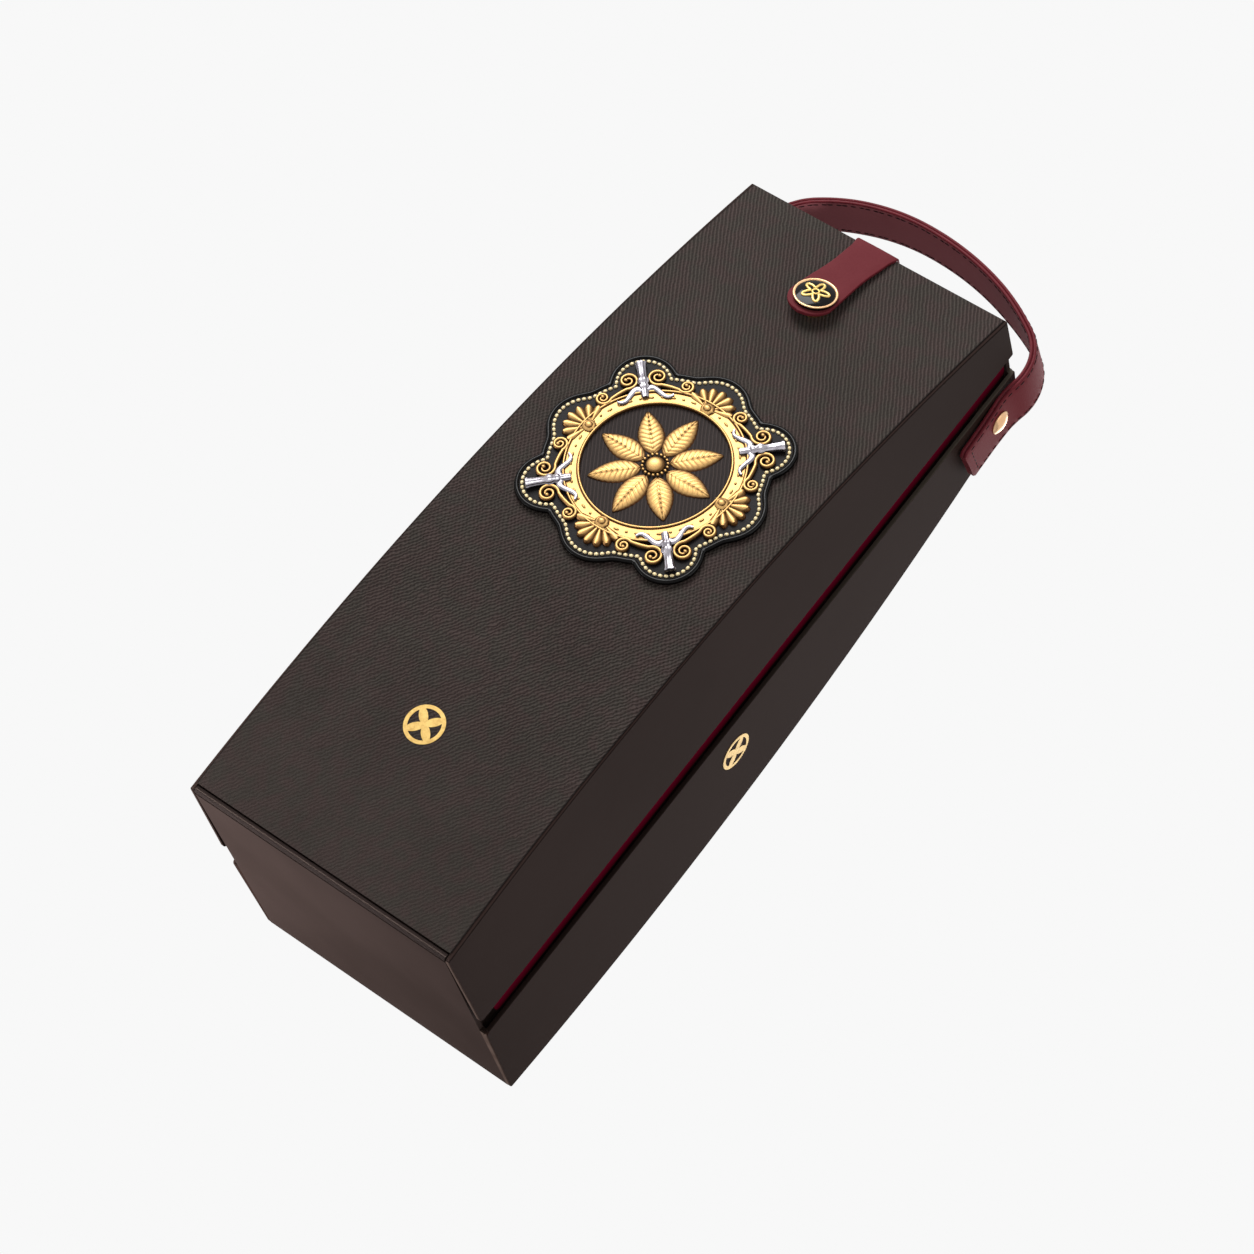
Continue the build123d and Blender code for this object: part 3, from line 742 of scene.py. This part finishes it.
# Gold rosette in the middle of the medallion: eight cast petals with a midrib and veins,
# around a beaded boss, in the same plated metal as the frame.
petal_start = 0.0052
petal_length = 0.0198
petal_width = 0.0100
petal_rise = 0.0016
petal_steps = 80
petal_across = 24
notch_depth = 0.00022
vein_count = 10
vein_depth = 0.0003
midrib_rise = 0.0003
boss_radius = 0.0037
boss_seat = 0.0005
boss_rise = 0.0021
bead_count = 18
bead_ring = 0.0047
bead_size = 0.0013
rosette = bmesh.new()


def petal(turn):
    """A domed petal with notched edges that points away from the boss."""
    along = Vector((cos(turn), sin(turn)))
    aside = Vector((-sin(turn), cos(turn)))
    rows = []
    for i in range(petal_steps + 1):
        share = i / petal_steps
        notch = abs(sin(share * vein_count * pi)) * sin(share * pi)
        half = petal_width / 2 * sin(pi * share ** 0.8) ** 0.75 + notch_depth * notch
        if i in (0, petal_steps):
            half = 0.00005
        arch = sin(pi * share) ** 0.5
        row = []
        for j in range(petal_across + 1):
            part = j / petal_across * 2 - 1
            place = along * (petal_start + petal_length * share) + aside * (half * part)
            vein = max(0, cos((share * vein_count - abs(part) * 1.5) * 2 * pi)) ** 3
            swell = (1 - abs(part) ** 2.2) * arch
            rise = petal_rise * (0.15 + 0.85 * swell) * (0.75 + 0.25 * share)
            rise += midrib_rise * max(0, 1 - abs(part) / 0.1) * arch - vein_depth * vein * swell
            if abs(part) == 1:
                rise = -0.0001
            row.append(on_front(place.x, medal_z + place.y, frame_seat + rise))
        rows.append(row)
    field(rosette, rows)


for k in range(8):
    petal(k * quarter)
dome_rows = []
for i in range(9):
    lift = i / 8 * pi / 2
    dome_radius = boss_radius * cos(lift) + 1e-5
    dome_high = frame_seat + boss_seat + boss_rise * sin(lift)
    dome_rows.append([on_medal(2 * pi * j / 32, dome_radius, dome_high)
                      for j in range(33)])
field(rosette, dome_rows)
for i in range(bead_count):
    bead = on_medal(2 * pi * i / bead_count, bead_ring, frame_seat + 0.0008)
    pill(rosette, bead, sideways, outward(bead.z), bead_size, bead_size, bead_size)
piece("badge_rosette", rosette, "lid", "gold_metal", [gold], "medal_petals", "medal_boss",
      sharp=60)

# Silver trim in the medallion's corner lobes: in each a banded baton, cast in white metal
# and left bright, with two thin ribbons that sweep along the ring.
baton_start = 0.0306
baton_length = 0.0170
baton_wide = 0.00135
baton_deep = 0.0010
baton_flutes = 7
baton_rings = ((0.0, 0.5), (0.015, 1.0), (0.12, 1.15), (0.24, 1.05), (0.26, 1.5), (0.3, 1.65),
               (0.34, 1.5), (0.38, 1.25), (0.42, 1.75), (0.47, 1.9), (0.52, 1.75), (0.56, 1.25),
               (0.75, 1.3), (0.92, 1.5), (0.95, 1.75), (0.985, 1.65), (1.0, 1.1))
ribbon_steps = 24
silver = Finish("silver_metal", Metallic=1.0, Roughness=0.32)
tarnish_and_shade = silver.noise(300, 3, stretch=(1, 1, 0.4)).limit(0.3, 0.7)
# Painted shade on the sloping faces, darker the more they slope, over the random tarnish.
tarnish_and_shade = (0.4 + 0.6 * tarnish_and_shade) * (0.15 + 0.85 * facing(silver).limit(0.5, 0.95))
silver.tint(tarnish_and_shade, (66, 62, 70), (198, 193, 200))
silver.relief(silver.noise(500), 0.00001)
trim = bmesh.new()
for k in range(4):
    turn = quarter + k * 2 * quarter
    places = []
    sections = []
    for share, size in baton_rings:
        places.append(around(turn, baton_start + baton_length * share, frame_seat + 0.0014))
        section = []
        for i in range(baton_flutes * 6):
            bearing = 2 * pi * i / (baton_flutes * 6)
            reach = size * (1 - 0.14 * abs(cos(baton_flutes * bearing / 2)) ** 4)
            section.append((baton_wide * reach * cos(bearing),
                            baton_deep * reach * sin(bearing)))
        sections.append(section)
    bar(trim, places, sections)
    for hand in (-1, 1):
        places = []
        sections = []
        for i in range(ribbon_steps + 1):
            share = i / ribbon_steps
            away = hand * (0.0008 + 0.0096 * share)
            out = 0.0346 - 0.0042 * share + 0.0015 * sin(share * 2 * pi)
            places.append((out * cos(turn) - away * sin(turn),
                           medal_z + out * sin(turn) + away * cos(turn),
                           frame_seat + 0.0015))
            sections.append(oval(0.0028 * (1 - 0.6 * share), 0.0009, 10))
        bar(trim, places, sections)
piece("badge_silver_trim", trim, "lid", "silver_metal", [silver], "medal_accents", sharp=50)

# Foil marks low on the front and on the sides of the back half: a ring with four petals,
# hot stamped in thin gold foil that follows the grain of the paper.
foil = Finish("gold_foil", Metallic=0.85, Roughness=0.44)
foil_worn = foil.noise(420, 4, 0.7).limit(0.35, 0.75)
foil.tint(foil_worn, (204, 172, 104), (176, 142, 80))
foil.relief(foil.noise(1500), 0.00006)
foil.cover("front_foil_mark", "side_foil_marks")

# Closing tab: one strip of burgundy leather with painted edges. It is glued and stitched
# to the top end, folds over the lid's edge and hangs down the front to the snap.
tab_thickness = 0.0014
fold_y = -0.0264
fold_radius = 0.0019
root_end = fold_y + 0.044
snap_z = box_height - 0.0378
snap_x = -0.0008
snap_standoff = 0.0036
snap_lean = radians(6.5)
tab_tip = 0.0104
tab_hang = 0.0095
tab_edge = 0.0004
tab_camber = 0.0001


def leather(name, roughness, shine, grain_scale, dye_scale, first, second):
    """Smooth leather, unevenly dyed, with a fine grain."""
    finish = Finish(name, Roughness=roughness, Specular_IOR_Level=shine)
    grain = finish.noise(grain_scale, 3)
    finish.tint(finish.noise(dye_scale, 3) * 0.7 + grain * 0.3, first, second)
    finish.relief(grain, 0.00008)
    return finish


tab_leather = leather("tab_leather", 0.55, 0.05, 1100, 70, (98, 37, 43), (118, 53, 58))
edge_paint = Finish("painted_edge", Roughness=0.4, Specular_IOR_Level=0.1)
edge_paint.mottle(200, (92, 28, 36), (126, 46, 54))
edge_paint.relief(edge_paint.noise(900), 0.00005)

snap_turn = asin((snap_z - bow_z) / bow_radius) + snap_lean
snap_out = Vector((0, -cos(snap_turn), sin(snap_turn)))
snap_down = Vector((0, -sin(snap_turn), -cos(snap_turn)))
snap_middle = on_front(snap_x, snap_z, 0)
strip_middle = snap_middle + snap_out * (snap_standoff + tab_thickness / 2)
strip_middle.x = 0
top_line = box_height + tab_thickness / 2
tip = strip_middle + snap_down * tab_tip
hang = strip_middle - snap_down * tab_hang
corner = Vector((0, -half_top - 0.0003, top_line))


def rounded_path(points, radii, step):
    """Places along straight runs joined by arcs, at about even steps."""
    trimmed = [points[0]]
    for before, corner_point, after, radius in zip(points, points[1:], points[2:], radii):
        back = (before - corner_point).normalized()
        ahead = (after - corner_point).normalized()
        half = back.angle(ahead) / 2
        cut = radius / tan(half)
        middle = corner_point + (back + ahead).normalized() * (radius / sin(half))
        start = corner_point + back * cut
        end = corner_point + ahead * cut
        count = max(3, round(radius * (pi - 2 * half) / step * 2))
        for i in range(count + 1):
            point = start.lerp(end, i / count) - middle
            trimmed.append(middle + point.normalized() * radius)
    trimmed.append(points[-1])
    filled = []
    for a, b in zip(trimmed, trimmed[1:]):
        count = max(1, round((b - a).length / step))
        filled.extend(a.lerp(b, i / count) for i in range(count))
    return filled + [trimmed[-1]]


def slab(width, thick, round_edge, camber):
    """Section of a strap: a flat bar with rounded edges, its face a little cambered."""
    half = width / 2 - round_edge
    deep = thick / 2 - round_edge
    points = []
    for side_sign, face_sign, start in ((1, -1, -90), (1, 1, 0), (-1, 1, 90), (-1, -1, 180)):
        for i in range(4):
            turn = radians(start + i * 30)
            points.append((side_sign * half + round_edge * cos(turn),
                           face_sign * deep + round_edge * sin(turn)))
        if (side_sign, face_sign) == (1, 1):
            points += [(half * f, thick / 2 + camber * (1 - f * f)) for f in (0.6, 0, -0.6)]
        if (side_sign, face_sign) == (-1, -1):
            points += [(half * f, -thick / 2) for f in (-0.6, 0, 0.6)]
    return points


# Round a slab, material 1 is the paint on its two edges and 0 the leather of its faces.
slab_coats = [1] * 7 + [0] * 4 + [1] * 7 + [0] * 4
tab_path = rounded_path([Vector((0, root_end, top_line)), corner, hang, tip],
                        [fold_radius, 0.02], 0.0007)
tab_lengths = [0.0]
for a, b in zip(tab_path, tab_path[1:]):
    tab_lengths.append(tab_lengths[-1] + (b - a).length)
tab_end = tab_lengths[-1]
fold_at = min(range(len(tab_path)), key=lambda i: (tab_path[i] - corner).length)
fold_length = tab_lengths[fold_at]
tip_radius = 0.0096
tip_shift = -0.0013
tab_widths = ((0.0, 0.019), (fold_length, 0.019), (fold_length + 0.006, 0.0172),
              (fold_length + 0.018, 0.0163), (tab_end - tip_radius, 0.0188), (tab_end, 0.0192))
tab_shifts = ((fold_length, snap_x / 4), (tab_end - 0.009, tip_shift))


def eased(stops, at):
    """Value at a distance, eased between (distance, value) stops."""
    for (start, first), (end, second) in zip(stops, stops[1:]):
        if at <= end:
            share = max(0.0, min(1.0, (at - start) / (end - start)))
            return first + (second - first) * share * share * (3 - 2 * share)
    return stops[-1][1]


tab_strip = bmesh.new()
tab_rings = []
for i, (point, gone) in enumerate(zip(tab_path, tab_lengths)):
    ahead = tab_path[min(i + 1, len(tab_path) - 1)] - tab_path[max(i - 1, 0)]
    out = sideways.cross(ahead).normalized() * -1
    if out.z < 0 and out.y > 0:
        out = -out
    left = tab_end - gone
    width = eased(tab_widths, gone)
    if left < tip_radius:
        rounded = max(tab_edge ** 2, tip_radius ** 2 - (tip_radius - left) ** 2)
        width = min(width, 2 * sqrt(rounded))
    middle = Vector((eased(tab_shifts, gone), point.y, point.z))
    tab_rings.append([middle + sideways * a + out * b
                      for a, b in slab(width, tab_thickness, tab_edge, tab_camber)])
loft(tab_strip, tab_rings, coats=slab_coats)
tab_item = piece("tab_strip", tab_strip, None, "leather", [tab_leather, edge_paint],
                 "closure_tab", "tab_root", sharp=55)
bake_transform(tab_item)

# Stitches that hold the tab to the top end: waxed dark thread in a row along its two sides
# and across its end.
thread_dark = Finish("dark_thread", Roughness=0.6, Specular_IOR_Level=0.1)
thread_dark.mottle(900, (26, 6, 10), (48, 15, 20))
root_inset = 0.0022
root_side = 0.0095 - root_inset
root_first = -0.0195
root_pitch = 0.0029
end_first = -0.006085
end_pitch = 0.00243
stitch_high = box_height + tab_thickness
backwards = Vector((0, 1, 0))
upwards = Vector((0, 0, 1))
root_stitches = bmesh.new()
for i in range(13):
    for hand in (-1, 1):
        middle = Vector((hand * root_side, root_first + i * root_pitch, stitch_high))
        pill(root_stitches, middle, backwards, upwards, 0.002, 0.0006, 0.0005)
for i in range(6):
    middle = Vector((end_first + i * end_pitch, root_end - root_inset, stitch_high))
    pill(root_stitches, middle, sideways, upwards, 0.0017, 0.0006, 0.0005)
piece("tab_root_stitches", root_stitches, "base", "leather", [thread_dark])

# Snap: a turned cap with a thin rose gold rim around black enamel, which carries a small
# rosette of gold wire. The socket is crimped behind the tab and the stud is on the lid.
cap_radius = 0.0077
rim_radius = 0.0086
rim_height = 0.0019
cap_dome = 0.0009
turned_steps = 96
rose = Finish("rose_metal", Metallic=0.6, Roughness=0.28)
rose.mottle(200, (238, 184, 130), (255, 214, 164))
rose.relief(rose.noise(500), 0.00002)
face_low = snap_standoff + tab_thickness


def on_snap(distance, turn, high):
    """A point about the snap's axis."""
    flat = sideways * cos(turn) - snap_down * sin(turn)
    return snap_middle + flat * distance + snap_out * high


def turned(shape, profile):
    """A turned piece from (radius, height) points; it closes at the first and last."""
    rows = [[on_snap(radius, 2 * pi * j / turned_steps, high)
             for j in range(turned_steps + 1)] for radius, high in profile]
    field(shape, rows)


rim = bmesh.new()
rim_top = face_low + rim_height
turned(rim, [(rim_radius - 0.0004, rim_top - 0.0007), (rim_radius - 0.0001, rim_top - 0.0005),
             (rim_radius, rim_top - 0.0002), (rim_radius - 0.0001, rim_top),
             (rim_radius - 0.0004, rim_top + 0.0001), (rim_radius - 0.0008, rim_top),
             (cap_radius - 0.0001, rim_top - 0.0003)])
piece("snap_rim_ring", rim, "tab", "rose_metal", [rose], "snap_rim", sharp=70)

enamel = bmesh.new()
dome_foot = rim_top - 0.0003
dome = [(cap_radius * (1 - i / 16), dome_foot + cap_dome * (1 - (1 - i / 16) ** 3.2))
        for i in range(17)]
dome[-1] = (0.00001, dome[-1][1])
turned(enamel, [(rim_radius - 0.0006, face_low - 0.0001),
                (rim_radius - 0.0004, face_low + 0.0003),
                (rim_radius - 0.0004, rim_top - 0.0007), (cap_radius, rim_top - 0.0006)] + dome)
black = Finish("black_enamel", Roughness=0.1, Specular_IOR_Level=0.15)
black.mottle(120, (7, 6, 7), (13, 11, 11))
black.relief(black.noise(300), 0.00002)
piece("snap_enamel", enamel, "tab", "black_enamel", [black], "snap_cap", sharp=70)

wire_rosette = bmesh.new()
wire_steps = 150


def domed(distance, turn):
    """A point on the enamel's dome."""
    rise = cap_dome * (1 - (distance / cap_radius) ** 3.2)
    return on_snap(distance, turn, rim_top - 0.0002 + rise)


for reach, wave, wire in ((0.0037, 0.0016, 0.0011), (0.0013, 0.0, 0.0008)):
    points = [domed(reach + wave * cos(10 * pi * i / wire_steps),
                    2 * pi * i / wire_steps + pi / 2) for i in range(wire_steps)]
    rings = []
    for i, point in enumerate(points):
        ahead = points[(i + 1) % wire_steps] - points[i - 1]
        side = ahead.cross(snap_out).normalized()
        rings.append([point + side * a + snap_out * b for a, b in oval(wire, wire * 0.8)])
    loft(wire_rosette, rings, closed=True)
bright = Finish("bright_gold_wire", Metallic=0.6, Roughness=0.35)
bright.mottle(400, (226, 186, 96), (250, 224, 146))
piece("snap_wire_rosette", wire_rosette, "tab", "gold_metal", [bright], sharp=60)

gold_plain = Finish("gold_plating", Metallic=1.0, Roughness=0.25)
gold_plain.mottle(300, (214, 168, 84), (244, 206, 128))
gold_plain.relief(gold_plain.noise(600), 0.00003)
gold_plain.cover("snap_socket", "snap_stud")

# Carrying strap: two layers of burgundy leather laid back to back, stitched near both edges
# with dark thread and edge-painted. It arches over the top and its ends lean back a
# little, with the back edge standing further out than the front edge at the shoulders.
strap_width = 0.0215
layer = 0.0014
side_face = 0.06
washer = 0.0016
right_shoulder = 0.0205
left_shoulder = 0.025
strap_top = box_height + 0.0353
strap_apex = -0.008
strap_centre = 0.0162
rivet_z = box_height - 0.0166
lean_top = rivet_z + 0.024
lean_slice = 0.0005
flare = radians(14.4)
flare_radius = 0.04
flare_start = rivet_z + 0.0021
strap_low = rivet_z - 0.0206
strap_lean = radians(8)
strap_twist = radians(5.3)
strap_step = 0.0012
strap_end_radius = 0.0015


def half_strap(span, shoulder):
    """Side and height of the seam between the layers, from the strap's end to its top."""
    flare_x = span + flare_radius * (1 - cos(flare))
    flare_z = flare_start + flare_radius * sin(flare)
    shoulder_x = flare_x - shoulder * cos(flare)
    shoulder_z = flare_z + shoulder * sin(flare)
    drop = strap_top - shoulder_z
    arch = (shoulder_x ** 2 + drop ** 2 - shoulder ** 2) / (2 * (drop - shoulder))
    arch_z = strap_top - arch
    tilt = atan2(shoulder_x, shoulder_z - arch_z)
    points = [Vector((span + layer, strap_low)), Vector((span + layer, flare_start))]

    def sweep(x, z, radius, start, end):
        """Adds the points of an arc."""
        count = max(2, round(abs(end - start) * radius / 0.0004))
        for i in range(1, count + 1):
            turn = start + (end - start) * i / count
            points.append(Vector((x + radius * sin(turn), z + radius * cos(turn))))

    sweep(span + flare_radius, flare_start, flare_radius - layer, -pi / 2, -pi / 2 + flare)
    sweep(shoulder_x, shoulder_z, shoulder + layer, pi / 2 + flare, tilt)
    sweep(0, arch_z, arch + layer, tilt, 0)
    return points


right_half = half_strap(side_face + washer - strap_apex, right_shoulder)
left_half = half_strap(side_face + washer + strap_apex, left_shoulder)
seam = [Vector((strap_apex + p.x, p.y)) for p in right_half]
seam += [Vector((strap_apex - p.x, p.y)) for p in left_half[-2::-1]]
seam_length = sum((b - a).length for a, b in zip(seam, seam[1:]))
seam_count = round(seam_length / strap_step)
seam_pitch = seam_length / seam_count
seam_even = []
gone = 0.0
for a, b in zip(seam, seam[1:]):
    length = (b - a).length
    while len(seam_even) <= seam_count and len(seam_even) * seam_pitch <= gone + length + 1e-9:
        seam_even.append(a.lerp(b, (len(seam_even) * seam_pitch - gone) / length))
    gone += length


def lean_at(z):
    """How steeply the strap leans back: fully at the rivets, and not at all above them."""
    return strap_lean * (1 - eased(((rivet_z + 0.004, 0.0), (lean_top, 1.0)), z))


def strap_y(z):
    """Distance back of the strap's middle line, which leans towards its ends."""
    back = 0.0
    level = lean_top
    while level > z:
        back += tan(lean_at(level)) * lean_slice
        level -= lean_slice
    return strap_centre + back


twist_stops = ((0.0, 0.0), (0.012, 0.08), (0.034, 1.0), (0.05, 0.9), (0.085, 0.0))
strap_stations = []
for i, point in enumerate(seam_even):
    ahead = seam_even[min(i + 1, len(seam_even) - 1)]
    behind = seam_even[max(i - 1, 0)]
    ahead_y = strap_y(ahead.y) - strap_y(behind.y)
    along = Vector((ahead.x - behind.x, ahead_y, ahead.y - behind.y)).normalized()
    out = Vector((along.z, 0, -along.x)).normalized()
    back = along.cross(out).normalized()
    if back.y < 0:
        back = -back
    from_end = min(i, len(seam_even) - 1 - i) * seam_pitch
    twist = strap_twist * eased(twist_stops, from_end)
    wide = back * cos(twist) + out * sin(twist)
    face = out * cos(twist) - back * sin(twist)
    width = strap_width
    if from_end < strap_end_radius:
        square = strap_end_radius ** 2 - (strap_end_radius - from_end) ** 2
        width -= 2 * (strap_end_radius - sqrt(max(0.0, square)))
    place = Vector((point.x, strap_y(point.y), point.y))
    strap_stations.append((place, wide, face, along, width))

layer_gap = 0.00006
layer_edge = 0.00055
layer_camber = 0.00012
outer_inset = 0.0007
lining_coats = [2 if coat == 0 else 1 for coat in slab_coats]
strap = bmesh.new()
for low, inset, coats in ((-layer / 2, 0.0, lining_coats), (layer / 2, outer_inset, slab_coats)):
    rings = []
    for place, wide, face, along, width in strap_stations:
        section = slab(width - inset, layer - layer_gap, layer_edge, layer_camber)
        rings.append([place + wide * a + face * (low + b) for a, b in section])
    loft(strap, rings, coats=coats)
strap_leather = leather("strap_leather", 0.55, 0.04, 1100, 70, (118, 44, 50), (140, 61, 67))
# The inner layer is coloured lighter than the outer one as painted light, to make up for the
# shade on the strap's inner face.
strap_lining_lightened = leather("strap_lining_lightened", 0.6, 0.04, 1000, 50, (152, 86, 92), (172, 104, 109))
piece("strap_leather", strap, "handle", "leather", [strap_leather, edge_paint, strap_lining_lightened],
      "handle_inner", "handle_outer", sharp=55)

strap_stitch_pitch = 0.0031
strap_stitch_side = strap_width / 2 - 0.0019
stitch_ends = 3
every = strap_stitch_pitch / seam_pitch
seams = bmesh.new()
for k in range(int((len(strap_stations) - 1 - 2 * stitch_ends) / every)):
    at = round(stitch_ends + (k + 0.5) * every)
    place, wide, face, along, width = strap_stations[at]
    for hand in (-1, 1):
        for high in (-layer, layer):
            middle = place + wide * (hand * strap_stitch_side) + face * high
            pill(seams, middle, along, face, 0.0022, 0.0007, 0.0005)
for end in (stitch_ends, -1 - stitch_ends):
    place, wide, face, along, width = strap_stations[end]
    for k in range(5):
        middle = place + wide * ((k - 2) * strap_stitch_pitch) + face * layer
        pill(seams, middle, wide, face, 0.0022, 0.0006, 0.0004)
piece("strap_stitches", seams, "handle", "leather", [thread_dark], sharp=60)

# Rivets at the strap's ends: domed heads in polished rose gold, each with a shank through
# the side and a flat head inside, and a steel washer that keeps the strap off the paper.
rivet_gold = Finish("rivet_gold", Metallic=0.6, Roughness=0.2)
rivet_gold.mottle(250, (255, 196, 142), (255, 216, 170))
rivet_gold.relief(rivet_gold.noise(500), 0.00002)
rivet_gold.cover("handle_rivet_left", "handle_rivet_right")
silver.cover("handle_washers")
